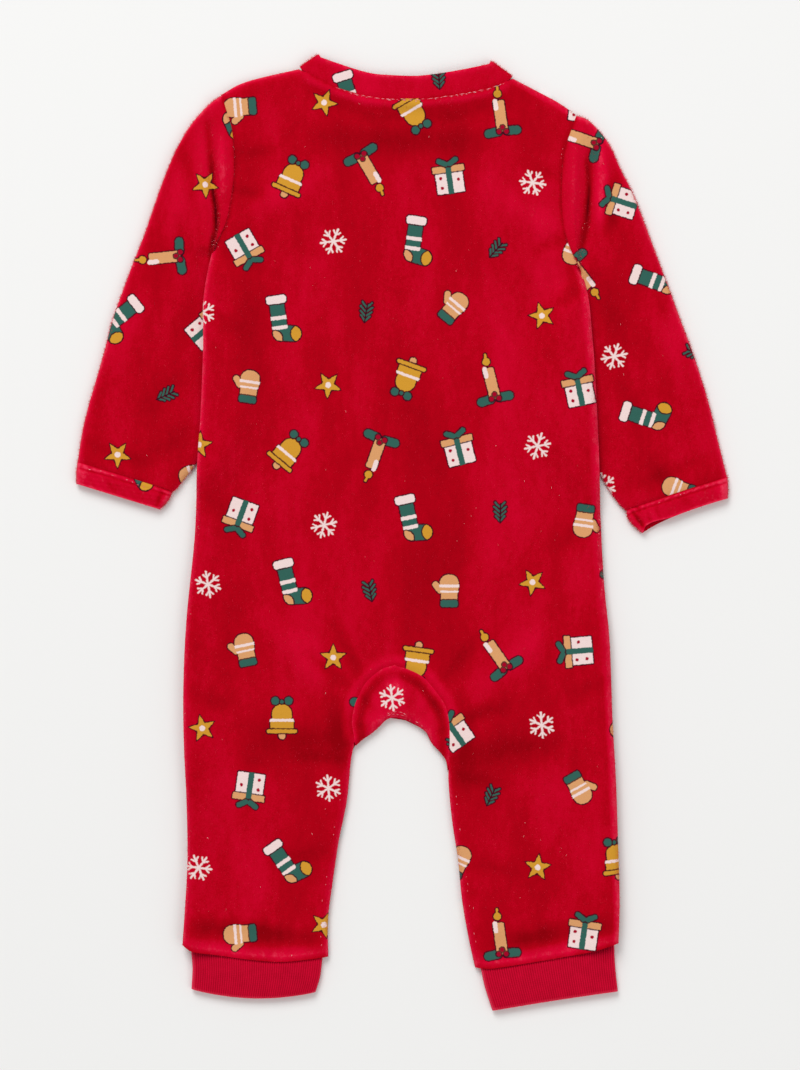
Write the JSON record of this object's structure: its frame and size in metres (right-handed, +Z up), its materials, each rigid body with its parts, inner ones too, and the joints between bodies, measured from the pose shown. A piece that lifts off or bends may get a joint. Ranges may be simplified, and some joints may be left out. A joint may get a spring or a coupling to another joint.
{
  "type": "onesie pajama",
  "caption": "Baby's long-sleeved onesie pajama in printed velour with rib ankle cuffs, laid flat on its front with its back up.",
  "frame": {"origin": "middle of the footprint, on the surface that the garment lies on", "axes": "+X to the wearer's right, which is the right of a back view; +Y from the feet to the neck; +Z up from the surface, through the front and then the back"},
  "size_m": [0.3906, 0.5735, 0.0097],
  "materials": {
    "velour": "red cotton velour with a small printed pattern",
    "rib": "fine one by one cotton rib",
    "popper": "plain red enamelled caps"
  },
  "bodies": {
    "root": {"back": "velour", "front_left": "velour", "front_right": "velour", "front_placket": "velour", "popper_1": "popper", "popper_2": "popper", "popper_3": "popper", "popper_4": "popper", "popper_5": "popper", "popper_6": "popper", "popper_7": "popper", "popper_8": "popper", "crotch_gusset": "velour", "sleeve_left": "velour", "sleeve_right": "velour", "wrist_band_left": "velour", "wrist_band_right": "velour", "neckband": "velour", "ankle_cuff_left": "rib", "ankle_cuff_right": "rib"}
  },
  "joints": []
}
